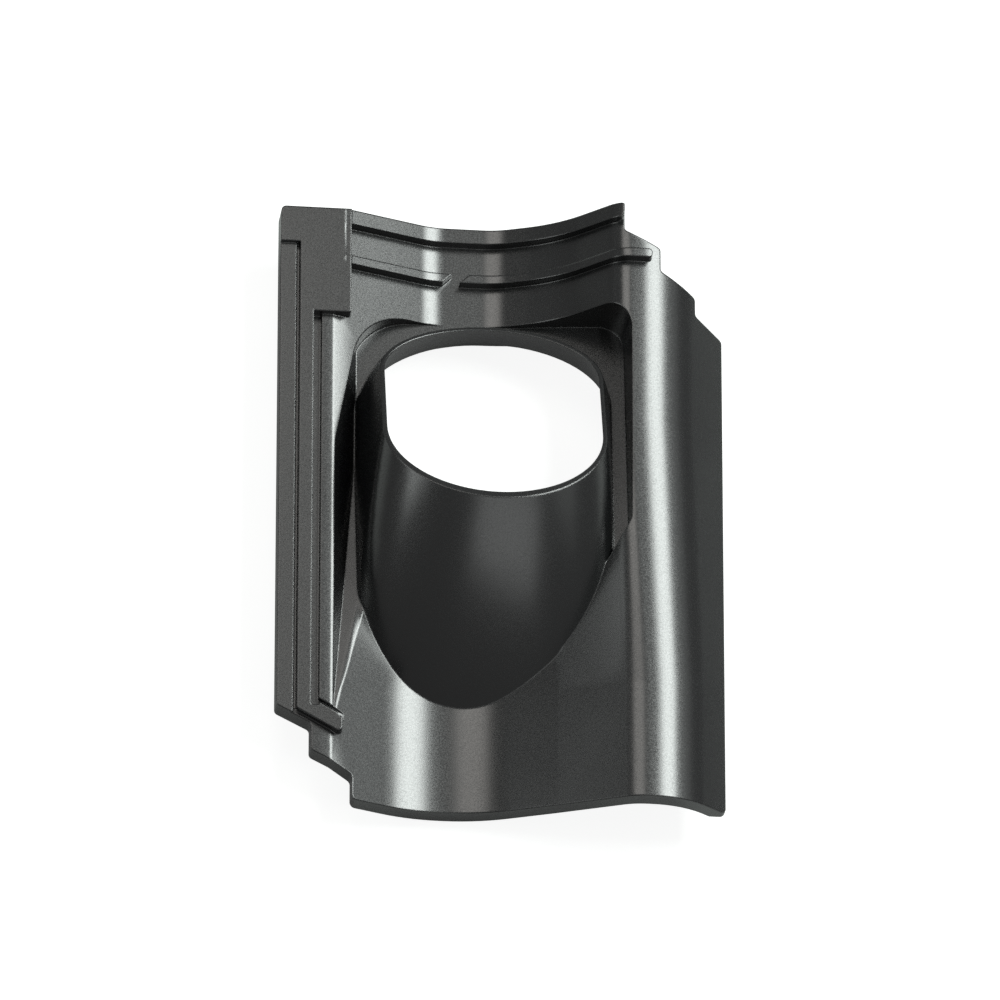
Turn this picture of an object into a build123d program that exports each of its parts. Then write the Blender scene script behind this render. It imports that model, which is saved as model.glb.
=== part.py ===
from build123d import *
import os
from math import atan, atan2, cos, tan

# A roof tile vent: one moulded piece, a thin S-profile tile with a sloping
# collar round its opening and a sunk gutter round the collar.
# X runs across the tile, Y from the tail (lower edge) to the head, Z is up.
# While it is built, X = 0 is the middle of the tile, Y = 0 the tail edge and
# Z = 0 the upper face of the trough at the tail.

# Overall sizes
tile_length = 368.8
tile_width = 261.4
wall = 2.5
skirt_depth = 13.0
skin_drop = 1.12 * wall        # height between the faces of the sloping skin

# Cross profile: heights over the trough, places across from mid-width.
# The bends say how far each arc of trough and flank reaches from its corner.
shelf_height = 22.0
shelf_width = 31.7
tail_blend_end = 70.0
head_blend_start = 235.0

tail_trough = (-50.4, -10.7)
tail_trough_height = 0.9
tail_flank = (33.0, 21.0)
tail_bends = (18.2787, 19.26778, 0.67145)
tail_crest_in = (54.2, 26.9)   # from the right edge
tail_crest_height = 42.2
tail_crest_radii = (30.0, 46.0)

head_trough = (-38.6, -1.8)
head_trough_height = -1.5
head_flank = (33.0, 12.5)
head_bends = (7.50735, 7.74438, 19.35353)
head_crest_in = (64.7, 33.7)   # from the right edge
head_crest_height = 48.6
head_crest_radii = (18.0, 48.0)

edge_height = 18.5
shoulder_radius = 4.0
roll_edge_base = 13.5
roll_base_width = 34.0

# Stepped corners, tail left and head right
step_slope = 0.5
tail_step_across = (20.2, 44.7)
tail_step_up = (53.8, 27.4)
head_step_across = (61.0, 39.7, 17.7)
head_step_down = (14.8, 39.8, 61.8)
corner_radius = 3.0
smallest_radius = 0.6

# Side lock along the left edge
ledge_width = 9.6
ledge_rise = 1.5
slit_width = 1.9
slit_depth = 1.5
lock_rib_width = 8.2
lock_rise = 4.5
channel_width = 5.0
channel_depth = 3.5
lock_arm_width = 11.0
lock_arm_reach = 26.5
lock_arm_up = 46.7
lock_arm_slope = 1.1 * step_slope
lock_rib_bends = (3.0, 2.5, 2.5, 3.0)
ledge_foot_gap = 4.0           # the ledge starts this far below the first step
slit_foot_gap = 5.5
channel_run_on = 4.0
drain_width = 4.5
drain_reach = 24.0

# Head plateau and weather ribs
plateau_width = 41.6
plateau_length = 66.4
plateau_bends = (0.8, 0.8, 1.5)
ledge_end = 22.3
rib_rise = 7.0
rib_overlap = 4.0              # how far the ribs run under the plateau
rib_one_bend = 4.0
rib_two_rounding = 0.4         # share of the rib's own width
rib_one_width = 9.0
rib_one_end_in = 61.7
rib_two_up = 29.2
rib_two_width = 5.4
rib_two_end_in = 45.5
rib_gap_at = -25.0
rib_gap_width = 7.0
rib_gap_turn = -46.0

# Collar round the opening
collar_x = -8.0
foot_half_width = 76.0
foot_near = (120.0, 57.0)
foot_far = (250.0, 51.0)
waist_half_width = 71.9
waist_near = (168.0, 57.5)
waist_far = (255.0, 43.5)
waist_height = 42.0
waist_slope = 0.14
rim_half_width = 65.5
rim_near = (217.0, 50.0)
rim_far = (260.0, 36.0)
rim_height = 77.0
rim_slope = 0.38
near_wall_share = 1.6

# Gutter round the collar
gutter_right_in = 57.1
gutter_top_down = 59.8
gutter_corner_across = 16.5
gutter_corner_radius = 34.0
gutter_left_gap = 1.5
gutter_side_slope = 1.5
gutter_right_foot = 172.0
gutter_left_head = 222.0
gutter_left_foot = 40.0
gutter_elbow = (48.0, 126.0)
gutter_bends = (10.0, 16.0, gutter_corner_radius, 50.0, 8.0, 12.0)
gutter_floor_height = 42.1
gutter_fall_across = 0.146
gutter_fall_along = 0.14

# Shallow relief on the flank of the roll, beside the collar
relief_right_in = 42.2
relief_foot = 50.0
relief_run_in = 22.0
relief_head_down = 90.0
relief_bends = (6.0, 12.0)
relief_tail_crest_in = (66.0, 33.0)
relief_tail_heights = (36.2, 41.4)
relief_head_crest_in = (65.5, 33.2)
relief_head_heights = (47.5, 48.1)

# Hanging nibs under the head
nib_drop = 12.0
nib_thickness = 9.0
nib_width = 30.0
nib_setback = 24.0
nib_left = -62.0
nib_right = 34.0

base_level = -60.0
top_level = 120.0
left = -tile_width / 2
right = tile_width / 2
overhang = 12.0
slope_start = left + shelf_width


def bend_radii(trough, trough_z, flank, crest_x, crest_z, bends):
    # The radii of the arcs that start the given way from their corners.
    path = [(slope_start, shelf_height), (trough[0], trough_z), (trough[1], trough_z), flank,
            (crest_x, crest_z)]
    radii = []
    for before, corner, after, reach in zip(path, path[1:], path[2:], bends):
        turn = (atan2(after[1] - corner[1], after[0] - corner[0])
                - atan2(corner[1] - before[1], corner[0] - before[0]))
        radii.append(reach / tan(abs(turn) / 2))
    return radii


def section(y, lift, trough, trough_z, flank, bends, crest_in, crest_z, crest_r):
    side_slope = (crest_z[1] - edge_height) / crest_in[1]
    points = [
        (left - overhang, shelf_height),
        (slope_start, shelf_height),
        (trough[0], trough_z),
        (trough[1], trough_z),
        flank,
        (right - crest_in[0], crest_z[0]),
        (right - crest_in[1], crest_z[1]),
        (right + overhang, edge_height - side_slope * overhang),
    ]
    path = [(x, y, z + lift) for x, z in points]
    top = FilletPolyline(*path, radius=[shoulder_radius, *bends, *crest_r])
    sides = Polyline(path[-1], (path[-1][0], y, base_level), (path[0][0], y, base_level), path[0])
    return make_face(top + sides)


def tail_section(y, lift, crest_in=tail_crest_in, heights=(tail_crest_height, tail_crest_height)):
    bends = bend_radii(tail_trough, tail_trough_height, tail_flank, right - tail_crest_in[0],
                       tail_crest_height, tail_bends)
    return section(y, lift, tail_trough, tail_trough_height, tail_flank, bends, crest_in,
                   heights, tail_crest_radii)


def head_section(y, lift, crest_in=head_crest_in, heights=(head_crest_height, head_crest_height)):
    bends = bend_radii(head_trough, head_trough_height, head_flank, right - head_crest_in[0],
                       head_crest_height, head_bends)
    return section(y, lift, head_trough, head_trough_height, head_flank, bends, crest_in,
                   heights, head_crest_radii)


def skin(lift):
    # The tail profile below, the head profile above and a blend between them.
    stations = [tail_section(-overhang, lift), tail_section(tail_blend_end, lift),
                head_section(head_blend_start, lift), head_section(tile_length + overhang, lift)]
    return loft(stations, ruled=True)


def relief_skin(lift):
    # Meets the skin at the relief's foot and sinks below it over a short run-in.
    run_in_end = relief_foot + relief_run_in
    stations = [tail_section(-overhang, lift), tail_section(relief_foot, lift),
                tail_section(run_in_end, lift, relief_tail_crest_in, relief_tail_heights),
                head_section(head_blend_start, lift, relief_head_crest_in, relief_head_heights),
                head_section(tile_length + overhang, lift, relief_head_crest_in,
                             relief_head_heights)]
    return loft(stations, ruled=True)


def prism(face, low=base_level, high=top_level):
    return Pos(0, 0, low) * extrude(face, high - low)


def box(x0, x1, y0, y1, low, high):
    return Pos(0, 0, low) * extrude(Pos((x0 + x1) / 2, (y0 + y1) / 2) * Rectangle(x1 - x0, y1 - y0),
                                    high - low)


def half_space(plane):
    # Everything above a plane, as a block far larger than the tile.
    side = 3 * tile_length
    return plane * Pos(0, 0, side / 2) * Box(side, side, side)


def outline(inset):
    points = [(left, tile_length), (left, tail_step_up[0])]
    x = left
    for across, up in zip(tail_step_across, tail_step_up):
        points += [(left + across, up - step_slope * (left + across - x))]
        x = left + across
        following = [v for v in tail_step_up if v < up]
        points += [(x, following[0] if following else 0.0)]
    points += [(right, 0.0)]
    head_steps = []
    x = right
    for across, down in reversed(list(zip(head_step_across, head_step_down))):
        head_steps += [(x, tile_length - down - step_slope * (x - (right - across)))]
        head_steps += [(right - across, tile_length - down)]
        x = right - across
    points += head_steps + [(x, tile_length)]
    face = make_face(Polyline(*points, close=True))
    if inset:
        face = offset(face, amount=-inset, kind=Kind.INTERSECTION)
        return fillet(face.vertices(), max(corner_radius - inset, smallest_radius))
    return fillet(face.vertices(), corner_radius)


def plateau(grow):
    # The raised head corner, level with the lock rib and cut back for the ledge.
    low_edge = tile_length - plateau_length - grow
    right_edge = left + plateau_width + grow
    notch_x = left + ledge_width + slit_width - grow
    notch_y = tile_length - ledge_end - grow
    path = FilletPolyline((left - overhang, notch_y), (notch_x, notch_y), (notch_x, low_edge),
                          (right_edge, low_edge), (right_edge, tile_length + overhang),
                          radius=list(plateau_bends))
    close = Polyline(path @ 1, (left - overhang, tile_length + overhang), path @ 0)
    return prism(make_face(path + close), high=shelf_height + lock_rise + grow)


def lock():
    # The ledge and the lock rib, which turns into a short arm above the tail steps.
    plateau_foot = tile_length - plateau_length
    rib_left = left + ledge_width + slit_width
    rib_right = rib_left + lock_rib_width
    arm_end = rib_right + lock_arm_reach - lock_rib_width
    lean = lock_arm_slope
    arm_low = lock_arm_up + lean * (rib_right - rib_left)
    rib_path = FilletPolyline((rib_left, plateau_foot + 2), (rib_left, arm_low),
                              (arm_end, arm_low - lean * (arm_end - rib_left)),
                              (arm_end, arm_low - lean * (arm_end - rib_left) + lock_arm_width),
                              (rib_right, arm_low + lock_arm_width - lean * (rib_right - rib_left)),
                              (rib_right, plateau_foot + 2), radius=list(lock_rib_bends))
    rib_face = make_face(rib_path + Line(rib_path @ 1, rib_path @ 0))
    rib = prism(rib_face, high=shelf_height + lock_rise)
    ledge = box(left - overhang, left + ledge_width, tail_step_up[0] - ledge_foot_gap,
                tile_length - ledge_end + 1, base_level, shelf_height + ledge_rise)
    return rib + ledge


def lock_grooves(grow):
    # The narrow slit beside the ledge, and the channel that drains along the arm.
    plateau_foot = tile_length - plateau_length
    slit = box(left + ledge_width - grow, left + ledge_width + slit_width + grow,
               lock_arm_up + slit_foot_gap - grow, tile_length - ledge_end + grow,
               shelf_height - slit_depth - grow, top_level)
    x0 = left + ledge_width + slit_width + lock_rib_width - grow
    x1 = left + ledge_width + slit_width + lock_rib_width + channel_width + grow
    channel_foot = lock_arm_up + lock_arm_width
    channel = box(x0, x1, channel_foot - channel_run_on - grow, plateau_foot + grow,
                  shelf_height - channel_depth - grow, top_level)
    x2 = x0 + drain_reach
    drain_foot = channel_foot - lock_arm_slope * drain_reach
    drain_points = [(x0, channel_foot - grow), (x2, drain_foot - grow),
                    (x2, drain_foot + drain_width + 2 * grow),
                    (x0, channel_foot + drain_width + 2 * grow)]
    drain = prism(make_face(Polyline(*drain_points, close=True)),
                  low=shelf_height - channel_depth - grow)
    return slit + channel + drain


def weather_ribs(grow):
    # Two ribs that follow the head profile; a slanting gap drains the second.
    raised = skin(rib_rise + grow)
    start = left + plateau_width - rib_overlap
    one_low = tile_length - rib_one_width - grow
    rib_one_end = right - rib_one_end_in + grow
    rib_two_end = right - rib_two_end_in
    one_path = FilletPolyline((start, one_low), (rib_one_end, one_low),
                              (rib_one_end, tile_length + overhang), radius=rib_one_bend + grow)
    one_close = Polyline(one_path @ 1, (start, tile_length + overhang), one_path @ 0)
    ribs = raised & prism(make_face(one_path + one_close))
    if grow:
        return ribs
    two_mid = tile_length - rib_two_up - rib_two_width / 2
    two_face = Pos((start + rib_two_end) / 2, two_mid) * RectangleRounded(
        rib_two_end - start, rib_two_width, rib_two_width * rib_two_rounding)
    gap = Pos(rib_gap_at, two_mid) * Rot(0, 0, rib_gap_turn) * Rectangle(rib_gap_width, 40.0)
    return ribs + (raised & prism(two_face - gap))


def gutter(grow):
    # The sunk way round the collar: its floor falls to the head and to the left.
    gutter_right = right - gutter_right_in
    gutter_top = tile_length - gutter_top_down
    gutter_left = slope_start + gutter_left_gap
    points = [(gutter_right, gutter_right_foot), (gutter_right, gutter_top),
              (gutter_left + gutter_corner_across, gutter_top),
              (gutter_left, gutter_left_head), (gutter_left, gutter_left_foot), gutter_elbow]
    path = FilletPolyline(*points, radius=list(gutter_bends), close=True)
    face = make_face(path)
    if grow:
        face = offset(face, amount=grow)
    tilt = Plane(origin=(0, 0, gutter_floor_height - grow),
                 z_dir=(-gutter_fall_across, gutter_fall_along, 1))
    above = half_space(tilt)
    side = Plane(origin=(slope_start, 0, shelf_height - grow), z_dir=(gutter_side_slope, 0, 1))
    inside = half_space(side)
    return prism(face, low=head_trough_height - grow) & above & inside


def relief(grow):
    # Lowers the flank a little between the gutter and the crown of the roll.
    low_edge = relief_foot + 1.0 - grow
    right_edge = right - relief_right_in + grow
    high_edge = tile_length - relief_head_down + grow
    path = FilletPolyline((0, low_edge), (right_edge, low_edge), (right_edge, high_edge),
                          (0, high_edge), radius=[bend + grow for bend in relief_bends])
    face = make_face(path + Line(path @ 1, path @ 0))
    return prism(face, low=0) - relief_skin(-grow * skin_drop / wall)


def collar_outline(plane, half_width, near, far, inset, stretch=1.0):
    # Two half ellipses joined by straight sides; along the slope y is stretched.
    wide = half_width - inset
    near_y = near[0] * stretch
    far_y = far[0] * stretch
    near_r = (near[1] - inset * near_wall_share) * stretch
    far_r = (far[1] - inset) * stretch
    edges = [
        EllipticalCenterArc((0, near_y), wide, near_r, 180, arc_size=90),
        EllipticalCenterArc((0, near_y), wide, near_r, 270, arc_size=90),
        Line((wide, near_y), (wide, far_y)),
        EllipticalCenterArc((0, far_y), wide, far_r, 0, arc_size=90),
        EllipticalCenterArc((0, far_y), wide, far_r, 90, arc_size=90),
        Line((-wide, far_y), (-wide, near_y)),
    ]
    return plane * make_face(Curve() + edges)


def sloping_plane(slope, height, at_y):
    # A plane through the given height at at_y that falls towards the head.
    return Plane(origin=(collar_x, 0, height + slope * at_y), x_dir=(1, 0, 0), z_dir=(0, slope, 1))


def collar(inset, low):
    foot = collar_outline(Plane((collar_x, 0, 0)), foot_half_width, foot_near, foot_far, inset)
    waist_y = waist_near[0] - waist_near[1]
    waist = collar_outline(sloping_plane(waist_slope, waist_height, waist_y), waist_half_width,
                           waist_near, waist_far, inset, 1 / cos(atan(waist_slope)))
    rim_y = rim_near[0] - rim_near[1]
    rim = collar_outline(sloping_plane(rim_slope, rim_height, rim_y), rim_half_width,
                         rim_near, rim_far, inset, 1 / cos(atan(rim_slope)))
    rising = loft([foot, waist, rim])
    return rising + extrude(foot, low)


def nibs():
    # Two lugs that hang behind a batten, both down to the same flat level.
    y1 = tile_length - nib_setback
    low = head_trough_height - wall - nib_drop
    pair = []
    for x in (nib_left, nib_right):
        lug = box(x - nib_width / 2, x + nib_width / 2, y1 - nib_thickness, y1, low, top_level)
        pair += [lug & skin(-wall / 2)]
    return pair


def build_tile():
    block = prism(outline(0))
    top = skin(0) + plateau(0) + lock() + weather_ribs(0)
    outer = (top & block) - lock_grooves(0) - relief(0) - gutter(0)
    outer += collar(0, head_trough_height - wall / 2)
    hollow = (skin(-skin_drop) + plateau(-wall) + weather_ribs(-wall)) & prism(outline(wall))
    hollow = hollow - lock_grooves(wall) - relief(wall) - gutter(wall)
    hollow += collar(wall, base_level)
    tile = outer - hollow
    ring = prism(Pos(0, tile_length / 2) * Rectangle(tile_width + overhang, tile_length + overhang)
                 - outline(wall + 1))
    roll_base = box(right - roll_base_width, right + overhang, -overhang,
                    tile_length + overhang, base_level, roll_edge_base)
    tile -= skin(-skirt_depth) & (ring - roll_base)
    tile -= roll_base & ring
    for lug in nibs():
        tile += lug
    return tile


vent_tile = build_tile()
bounds = vent_tile.bounding_box()
vent_tile = Pos(-bounds.center().X, -bounds.center().Y, -bounds.min.Z) * vent_tile
vent_tile.label = "vent_tile"
os.makedirs("parts", exist_ok=True)
export_step(vent_tile, "parts/vent_tile.step")
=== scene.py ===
import bpy
import math
import numpy as np
from mathutils import Matrix, Vector
from mathutils.kdtree import KDTree


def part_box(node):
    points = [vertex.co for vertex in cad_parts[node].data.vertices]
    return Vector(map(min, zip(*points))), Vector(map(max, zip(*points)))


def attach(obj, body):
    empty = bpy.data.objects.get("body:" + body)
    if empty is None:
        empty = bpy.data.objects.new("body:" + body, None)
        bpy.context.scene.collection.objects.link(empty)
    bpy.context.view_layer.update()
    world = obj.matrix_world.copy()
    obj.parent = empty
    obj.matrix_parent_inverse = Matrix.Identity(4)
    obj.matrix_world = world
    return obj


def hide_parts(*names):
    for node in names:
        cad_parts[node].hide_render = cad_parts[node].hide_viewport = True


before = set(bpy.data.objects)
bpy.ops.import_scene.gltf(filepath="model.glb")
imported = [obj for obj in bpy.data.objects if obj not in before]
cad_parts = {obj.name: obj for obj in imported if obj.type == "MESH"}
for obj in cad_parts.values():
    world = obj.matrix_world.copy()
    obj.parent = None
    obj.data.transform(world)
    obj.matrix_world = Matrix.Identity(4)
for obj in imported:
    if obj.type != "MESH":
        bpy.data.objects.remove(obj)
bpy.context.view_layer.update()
print("frame loaded")

mm = 0.001
boxLow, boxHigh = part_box("vent_tile")


def hexToLinear(hexText, alpha=1.0):
    # sRGB hex to the linear values that the shaders want
    values = [int(hexText[i:i + 2], 16) / 255 for i in (1, 3, 5)]
    return [v / 12.92 if v <= 0.04045 else ((v + 0.055) / 1.055) ** 2.4 for v in values] + [alpha]


def addNode(tree, kind, settings=None, inputs=None, links=None):
    # one node with its settings, its input values and the sockets that feed it
    node = tree.nodes.new(kind)
    for name, value in (settings or {}).items():
        setattr(node, name, value)
    for name, value in (inputs or {}).items():
        node.inputs[name].default_value = value
    for name, socket in (links or {}).items():
        tree.links.new(socket, node.inputs[name])
    return node


def newMaterial(name):
    material = bpy.data.materials.new(name)
    material.use_nodes = True
    tree = material.node_tree
    tree.nodes.clear()
    output = addNode(tree, "ShaderNodeOutputMaterial")
    return material, tree, output


# Moulded black plastic: a glass-filled tile moulding with a fine spark-eroded
# grain. It looks black and satin, with broad soft highlights that break up
# into the grain, and a thin bright line on every rounded edge.
plasticLook = {
    "colour": "#151617",
    "wornColour": "#1b1c1c",
    "roughness": 0.25,
    "roughnessSpread": 0.06,
    "ior": 1.56,
    "specularLevel": 1.0,
    "edgeRadiusMm": 1.3,
    "grainMm": 0.9,          # the real grain is near 0.3 mm, drawn coarser so that it shows
    "grainHeightMm": 0.012,
    "flowMm": 34.0,
    "flowHeightMm": 0.10,
}


def mouldedBlackPlastic(look):
    material, tree, output = newMaterial("moulded black plastic")
    place = addNode(tree, "ShaderNodeTexCoord").outputs["Object"]
    grain = addNode(tree, "ShaderNodeTexNoise",
                    inputs={"Scale": 1 / (look["grainMm"] * mm), "Detail": 2.0, "Roughness": 0.6},
                    links={"Vector": place})
    flow = addNode(tree, "ShaderNodeTexNoise",
                   inputs={"Scale": 1 / (look["flowMm"] * mm), "Detail": 1.0, "Roughness": 0.4},
                   links={"Vector": place})
    rounded = addNode(tree, "ShaderNodeBevel", {"samples": 8},
                      {"Radius": look["edgeRadiusMm"] * mm})
    waves = addNode(tree, "ShaderNodeBump",
                    inputs={"Strength": 1.0, "Distance": look["flowHeightMm"] * mm},
                    links={"Height": flow.outputs["Fac"], "Normal": rounded.outputs["Normal"]})
    skin = addNode(tree, "ShaderNodeBump",
                   inputs={"Strength": 1.0, "Distance": look["grainHeightMm"] * mm},
                   links={"Height": grain.outputs["Fac"], "Normal": waves.outputs["Normal"]})
    gloss = addNode(tree, "ShaderNodeMapRange",
                    inputs={"From Min": 0.3, "From Max": 0.7,
                            "To Min": look["roughness"] - look["roughnessSpread"],
                            "To Max": look["roughness"] + look["roughnessSpread"]},
                    links={"Value": grain.outputs["Fac"]})
    tint = addNode(tree, "ShaderNodeMix", {"data_type": "RGBA"},
                   links={"Factor": flow.outputs["Fac"]})
    tint.inputs["A"].default_value = hexToLinear(look["colour"])
    tint.inputs["B"].default_value = hexToLinear(look["wornColour"])
    shader = addNode(tree, "ShaderNodeBsdfPrincipled",
                     inputs={"IOR": look["ior"], "Specular IOR Level": look["specularLevel"]},
                     links={"Base Color": tint.outputs["Result"],
                            "Roughness": gloss.outputs["Result"],
                            "Normal": skin.outputs["Normal"]})
    tree.links.new(shader.outputs["BSDF"], output.inputs["Surface"])
    return material


# The tile's own form, in millimetres from the middle of the tail edge and
# the trough's upper face there. It gives the true surface normals. Corners of
# a profile are place across, height and radius.
tileForm = {
    "nibLevel": -16.0,
    "halfWidth": 130.7,
    "overhang": 12.0,
    "shelfHeight": 22.0,
    "shoulderRadius": 4.0,
    "slopeStart": -99.0,
    "edgeHeight": 18.5,
    "tailEnd": 70.0,
    "headStart": 235.0,
    "ribRise": 7.0,
    "skinDrop": 2.8,
    "wall": 2.5,
    "arcSamples": 13,
    "weldGap": 0.005,
    "tail": [(-50.4, 0.9, 88.0), (-10.7, 0.9, 88.0), (33.0, 21.0, 60.0), (76.5, 42.2, 30.0),
             (103.8, 42.2, 46.0)],
    "head": [(-38.6, -1.5, 40.0), (-1.8, -1.5, 40.0), (33.0, 12.5, 85.0), (66.0, 48.6, 18.0),
             (97.0, 48.6, 48.0)],
    "reliefTail": [(-50.4, 0.9, 88.0), (-10.7, 0.9, 88.0), (33.0, 21.0, 60.0),
                   (64.7, 36.2, 30.0), (97.7, 41.4, 46.0)],
    "reliefHead": [(-38.6, -1.5, 40.0), (-1.8, -1.5, 40.0), (33.0, 12.5, 85.0),
                   (65.2, 47.5, 18.0), (97.5, 48.1, 48.0)],
}
# The collar's three outlines: half width, near and far half ellipse (place
# and reach along the tile), height and slope of the plane.
collarForm = {
    "x": -8.0,
    "foot": (76.0, (120.0, 57.0), (250.0, 51.0), 0.0, 0.0),
    "waist": (71.9, (168.0, 57.5), (255.0, 43.5), 42.0, 0.14),
    "rim": (65.5, (217.0, 50.0), (260.0, 36.0), 77.0, 0.38),
    "nearShare": 1.6,        # the wall is this much thicker along the near side
    "samplesRound": 360,
    "samplesUp": 30,
}
# How closely a face has to follow a surface to take its normals: gaps in
# millimetres, turns as the cosine of the angle between the normals.
normalLimits = {
    "skinGap": 0.6,
    "collarGap": 2.5,
    "sameSurface": 0.93,
    "sameBend": 0.82,
}
toFrame = Vector((0.0, -(boxHigh[1] - boxLow[1]) / 2, -tileForm["nibLevel"] * mm))


def roundedProfile(form, corners):
    # samples a profile of straight runs joined by arcs, the same count on each
    end = form["halfWidth"] + form["overhang"]
    slope = (corners[-1][1] - form["edgeHeight"]) / (form["halfWidth"] - corners[-1][0])
    points = [(-end, form["shelfHeight"], 0),
              (form["slopeStart"], form["shelfHeight"], form["shoulderRadius"])]
    points += corners + [(end, form["edgeHeight"] - slope * form["overhang"], 0)]
    samples = [points[0][:2]]
    for before, corner, after in zip(points, points[1:], points[2:]):
        here = np.array(corner[:2])
        backward = np.array(before[:2]) - here
        forward = np.array(after[:2]) - here
        backward /= np.linalg.norm(backward)
        forward /= np.linalg.norm(forward)
        half = math.acos(np.clip(backward @ forward, -1, 1)) / 2
        radius = corner[2]
        reach = radius / math.tan(half)
        middle = (backward + forward) / np.linalg.norm(backward + forward)
        centre = here + middle * radius / math.sin(half)
        first = here + backward * reach - centre
        last = here + forward * reach - centre
        for t in np.linspace(0, 1, form["arcSamples"]):
            point = first * (1 - t) + last * t
            samples.append(tuple(centre + point / np.linalg.norm(point) * radius))
    samples.append(points[-1][:2])
    return np.array(samples)


panProfiles = [roundedProfile(tileForm, tileForm[n]) for n in ("tail", "head")]
reliefProfiles = [roundedProfile(tileForm, tileForm[n]) for n in ("reliefTail", "reliefHead")]


def skinHeight(profiles, x, y):
    share = (y - tileForm["tailEnd"]) / (tileForm["headStart"] - tileForm["tailEnd"])
    share = min(1.0, max(0.0, share))
    profile = profiles[0] * (1 - share) + profiles[1] * share
    return float(np.interp(x, profile[:, 0], profile[:, 1]))


def skinNormal(profiles, x, y, step=1.2):
    fallX = (skinHeight(profiles, x + step, y) - skinHeight(profiles, x - step, y)) / (2 * step)
    fallY = (skinHeight(profiles, x, y + step) - skinHeight(profiles, x, y - step)) / (2 * step)
    return Vector((-fallX, -fallY, 1)).normalized()


def collarSection(name, inset, turn):
    halfWidth, near, far, height, slope = collarForm[name]
    wide = halfWidth - inset
    nearReach = near[1] - inset * collarForm["nearShare"]
    farReach = far[1] - inset
    # turn runs 0 to 6 round the six edges, as the outline is drawn
    edge, t = int(turn) % 6, turn - int(turn)
    if edge < 2:
        angle = math.pi + (edge + t) * math.pi / 2
        x, y = wide * math.cos(angle), near[0] + nearReach * math.sin(angle)
    elif edge == 2:
        x, y = wide, near[0] + (far[0] - near[0]) * t
    elif edge < 5:
        angle = (edge - 3 + t) * math.pi / 2
        x, y = wide * math.cos(angle), far[0] + farReach * math.sin(angle)
    else:
        x, y = -wide, far[0] + (near[0] - far[0]) * t
    return Vector((collarForm["x"] + x, y, height - slope * (y - near[0] + near[1])))


def collarPoint(inset, turn, rise):
    # a smooth curve through foot, waist and rim at one place round the collar
    foot, waist, rim = [collarSection(n, inset, turn) for n in ("foot", "waist", "rim")]
    lower = (waist - foot).length
    upper = (rim - waist).length
    t = lower / (lower + upper)
    a = rise * (rise - 1) / (t * (t - 1))
    b = (rise - t) * (rise - 1) / t
    c = rise * (rise - t) / (1 - t)
    return waist * a + foot * b + rim * c


def collarTree(inset):
    samples = []
    for i in range(collarForm["samplesRound"]):
        turn = i * 6 / collarForm["samplesRound"]
        for j in range(collarForm["samplesUp"] + 1):
            rise = j / collarForm["samplesUp"]
            along = collarPoint(inset, turn + 0.02, rise) - collarPoint(inset, turn - 0.02, rise)
            up = collarPoint(inset, turn, rise + 0.01) - collarPoint(inset, turn, rise - 0.01)
            samples.append((collarPoint(inset, turn, rise), along.cross(up).normalized()))
    tree = KDTree(len(samples))
    for i, (point, normal) in enumerate(samples):
        tree.insert(point, i)
    tree.balance()
    return tree, samples


def collarNormal(trees, point):
    best = None
    for tree, samples in trees:
        near = tree.find_n(point, 4)
        total = Vector()
        for place, index, distance in near:
            total += samples[index][1] / (distance + 0.05)
        if best is None or near[0][2] < best[1]:
            best = (total.normalized(), near[0][2])
    return best


def faceKinds(mesh, skins, around):
    # says for each face which surface it lies on: pan, relief, collar or none
    levels = (0.0, tileForm["ribRise"], -tileForm["skinDrop"],
              tileForm["ribRise"] - tileForm["wall"])
    same = normalLimits["sameSurface"]
    kinds = []
    for face in mesh.polygons:
        kind = "plain"
        corners = face.vertices
        closest = normalLimits["skinGap"]
        for name, (normalsHere, lift) in skins.items():
            gap = min(max(abs(lift[i] - level) for i in corners) for level in levels)
            if gap < closest:
                if all(abs(face.normal.dot(normalsHere[i])) > same for i in corners):
                    kind, closest = name, gap
        if all(around[i][1] < normalLimits["collarGap"] for i in corners):
            if all(abs(face.normal.dot(around[i][0])) > same for i in corners):
                kind = "collar"
        kinds.append(kind)
    return kinds


def bentNormal(mesh, face, neighbours):
    # the mean normal of the faces at a corner that turn only a little from this one
    normal = Vector()
    for index in neighbours:
        other = mesh.polygons[index]
        if other.normal.dot(face.normal) > normalLimits["sameBend"]:
            normal += other.normal * other.area
    return normal.normalized() if normal.length > 0 else face.normal


def trueNormals(mesh):
    # gives each face corner the normal of the surface that it lies on
    places = [(v.co - toFrame) / mm for v in mesh.vertices]
    skins = {}
    for name, profiles in (("pan", panProfiles), ("relief", reliefProfiles)):
        skins[name] = ([skinNormal(profiles, p.x, p.y) for p in places],
                       [p.z - skinHeight(profiles, p.x, p.y) for p in places])
    trees = [collarTree(0.0), collarTree(tileForm["wall"])]
    around = [collarNormal(trees, p) for p in places]
    kinds = faceKinds(mesh, skins, around)
    touching = [[] for _ in mesh.vertices]
    for face in mesh.polygons:
        for i in face.vertices:
            touching[i].append(face.index)
    normals = [None] * len(mesh.loops)
    for face in mesh.polygons:
        kind = kinds[face.index]
        for loop in face.loop_indices:
            i = mesh.loops[loop].vertex_index
            if kind == "plain":
                normals[loop] = bentNormal(mesh, face, touching[i])
                continue
            normal = around[i][0] if kind == "collar" else skins[kind][0][i]
            normals[loop] = normal if normal.dot(face.normal) >= 0 else -normal
    print("surfaces found:", {kind: kinds.count(kind) for kind in sorted(set(kinds))})
    mesh.polygons.foreach_set("use_smooth", [True] * len(mesh.polygons))
    mesh.normals_split_custom_set(normals)


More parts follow.
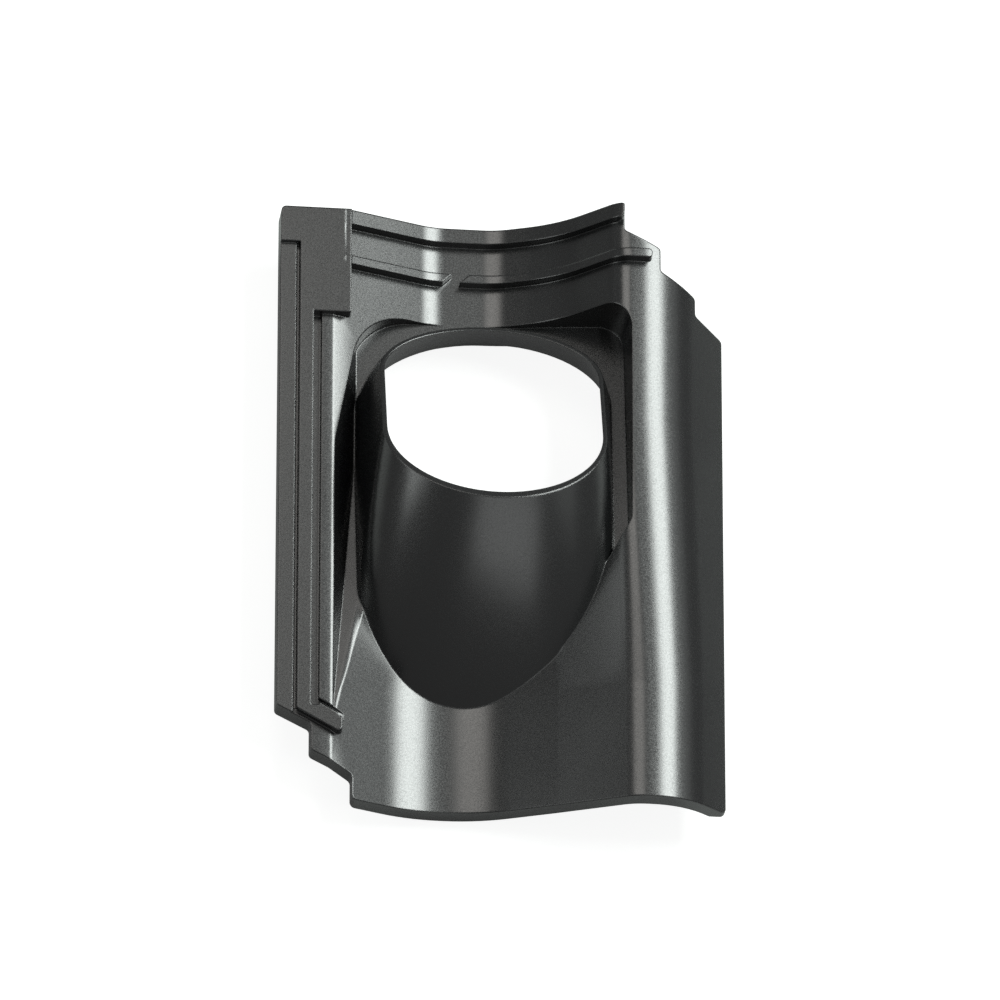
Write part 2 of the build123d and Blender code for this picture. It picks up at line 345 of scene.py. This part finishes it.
def buildTile():
    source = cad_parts["vent_tile"].data.copy()
    source.materials.clear()
    piece = bpy.data.objects.new("tile_moulding", source)
    bpy.context.scene.collection.objects.link(piece)
    weld = piece.modifiers.new("weld", "WELD")
    weld.merge_threshold = tileForm["weldGap"] * mm
    evaluated = piece.evaluated_get(bpy.context.evaluated_depsgraph_get())
    mesh = bpy.data.meshes.new_from_object(evaluated)
    piece.modifiers.clear()
    piece.data = mesh
    trueNormals(mesh)
    mesh.materials.append(mouldedBlackPlastic(plasticLook))
    return piece


tile = buildTile()
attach(tile, "root")
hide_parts("vent_tile")
print("tile made:", len(tile.data.polygons), "faces")

# The camera: a long lens, from above and a little to the left.
# right and up are the picture's own directions, target its centre.
cameraView = {
    "right": (0.9930, 0.0, 0.1198),
    "up": (-0.0472, 0.9188, 0.3917),
    "target": (-0.66, 189.8, 20.0),
    "distance": 6.0,
    "pixelsPerMm": 1.7165,
    "pictureSize": 1000,
}


def addCamera(view):
    data = bpy.data.cameras.new("camera")
    right = Vector(view["right"]).normalized()
    up = Vector(view["up"]).normalized()
    back = right.cross(up).normalized()
    up = back.cross(right)
    target = Vector(view["target"]) * mm + toFrame
    camera = bpy.data.objects.new("camera", data)
    camera.matrix_world = (Matrix.Translation(target + back * view["distance"])
                           @ Matrix((right, up, back)).transposed().to_4x4())
    across = view["pictureSize"] / view["pixelsPerMm"] * mm
    data.lens = data.sensor_width * view["distance"] / across
    data.clip_start = 0.05
    bpy.context.scene.collection.objects.link(camera)
    bpy.context.scene.camera = camera


addCamera(cameraView)
print("camera set")

# Studio: a pale floor, a dim room and six soft boxes. The key box makes the
# clear band on trough and roll; the weak ones give the greys beside it.
studio = {
    "floorColour": "#abaeac",
    "floorGlow": 0.89,
    "floorSize": 2.0,
    "floorGap": 0.0002,      # keeps the floor just clear of the tile's feet
    "roomLevel": 0.045,
    "mirroredShare": 0.12,   # how much of the white background a reflection shows
    "keyFrom": (0.455, 0.34, 0.80),
    "keyDistance": 2.0,
    "keySize": (0.72, 1.6),
    "keyPower": 37.0,
    "keyTint": "#f4faf7",
    "farFrom": (0.78, 0.10, 0.58),
    "farDistance": 2.0,
    "farSize": (0.7, 2.0),
    "farPower": 1.6,
    "farTint": "#f2f7f5",
    "fillFrom": (-0.21, 0.40, 0.89),
    "fillDistance": 2.2,
    "fillSize": (0.85, 0.9),
    "fillPower": 5.0,
    "fillTint": "#fbf8f3",
    "topFrom": (0.10, 0.40, 0.91),
    "topDistance": 2.4,
    "topSize": (0.9, 1.2),
    "topPower": 0.5,
    "topTint": "#f6f8f6",
    "sideFrom": (-0.80, 0.0, 0.60),
    "sideDistance": 2.2,
    "sideSize": (0.8, 1.2),
    "sidePower": 6.0,
    "sideTint": "#f0f5f3",
    "frontFrom": (0.20, -0.56, 0.80),
    "frontDistance": 2.2,
    "frontSize": (1.5, 0.8),
    "frontPower": 3.6,
    "frontTint": "#f2f5f4",
}


def addSoftBox(name, look):
    direction, distance, size, power, tint = [
        look[name + part] for part in ("From", "Distance", "Size", "Power", "Tint")]
    data = bpy.data.lights.new(name + " box", "AREA")
    data.color = hexToLinear(tint)[:3]
    data.shape = "RECTANGLE"
    data.size, data.size_y = size
    data.energy = power
    lamp = bpy.data.objects.new(name + " box", data)
    # the long side lies along the tile, whatever the direction of the light
    back = Vector(direction).normalized()
    across = Vector((0, 1, 0)).cross(back).normalized()
    along = back.cross(across)
    lamp.matrix_world = (Matrix.Translation(back * distance)
                         @ Matrix((across, along, back)).transposed().to_4x4())
    bpy.context.scene.collection.objects.link(lamp)


def whiteShare(tree, mirroredShare):
    # 1 for what the camera sees, also through glass, and less in reflections
    seen = addNode(tree, "ShaderNodeLightPath")
    mirrored = addNode(tree, "ShaderNodeMath", {"operation": "MULTIPLY"},
                       inputs={1: mirroredShare}, links={0: seen.outputs["Is Glossy Ray"]})
    direct = addNode(tree, "ShaderNodeMath", {"operation": "MAXIMUM"},
                     links={0: seen.outputs["Is Camera Ray"], 1: mirrored.outputs[0]})
    clear = addNode(tree, "ShaderNodeMath", {"operation": "MAXIMUM"},
                    links={0: direct.outputs[0], 1: seen.outputs["Is Transmission Ray"]})
    return clear.outputs[0]


def addStudio(look):
    material, tree, output = newMaterial("painted studio floor")
    clear = whiteShare(tree, look["mirroredShare"])
    paint = addNode(tree, "ShaderNodeBsdfDiffuse",
                    inputs={"Color": hexToLinear(look["floorColour"])})
    level = addNode(tree, "ShaderNodeMath", {"operation": "MULTIPLY"},
                    inputs={1: look["floorGlow"]}, links={0: clear})
    glow = addNode(tree, "ShaderNodeEmission", links={"Strength": level.outputs[0]})
    both = addNode(tree, "ShaderNodeAddShader",
                   links={0: paint.outputs["BSDF"], 1: glow.outputs["Emission"]})
    tree.links.new(both.outputs["Shader"], output.inputs["Surface"])
    half = look["floorSize"] / 2
    floorZ = boxLow[2] - look["floorGap"]
    corners = [(-half, -half, floorZ), (half, -half, floorZ), (half, half, floorZ),
               (-half, half, floorZ)]
    mesh = bpy.data.meshes.new("floor")
    mesh.from_pydata(corners, [], [(0, 1, 2, 3)])
    mesh.materials.append(material)
    floor = bpy.data.objects.new("floor", mesh)
    bpy.context.scene.collection.objects.link(floor)

    world = bpy.data.worlds.new("studio room")
    world.use_nodes = True
    bpy.context.scene.world = world
    room = world.node_tree
    room.nodes.clear()
    dim = addNode(room, "ShaderNodeBackground", inputs={"Strength": look["roomLevel"]})
    white = addNode(room, "ShaderNodeBackground", inputs={"Strength": 1.0})
    dim.inputs["Color"].default_value = (1, 1, 1, 1)
    white.inputs["Color"].default_value = (1, 1, 1, 1)
    choice = addNode(room, "ShaderNodeMixShader",
                     links={0: whiteShare(room, look["mirroredShare"]), 1: dim.outputs[0],
                            2: white.outputs[0]})
    end = addNode(room, "ShaderNodeOutputWorld")
    room.links.new(choice.outputs[0], end.inputs["Surface"])
    for name in ("key", "far", "fill", "top", "side", "front"):
        addSoftBox(name, look)


addStudio(studio)
bpy.context.scene.view_settings.view_transform = "Standard"
print("studio set")
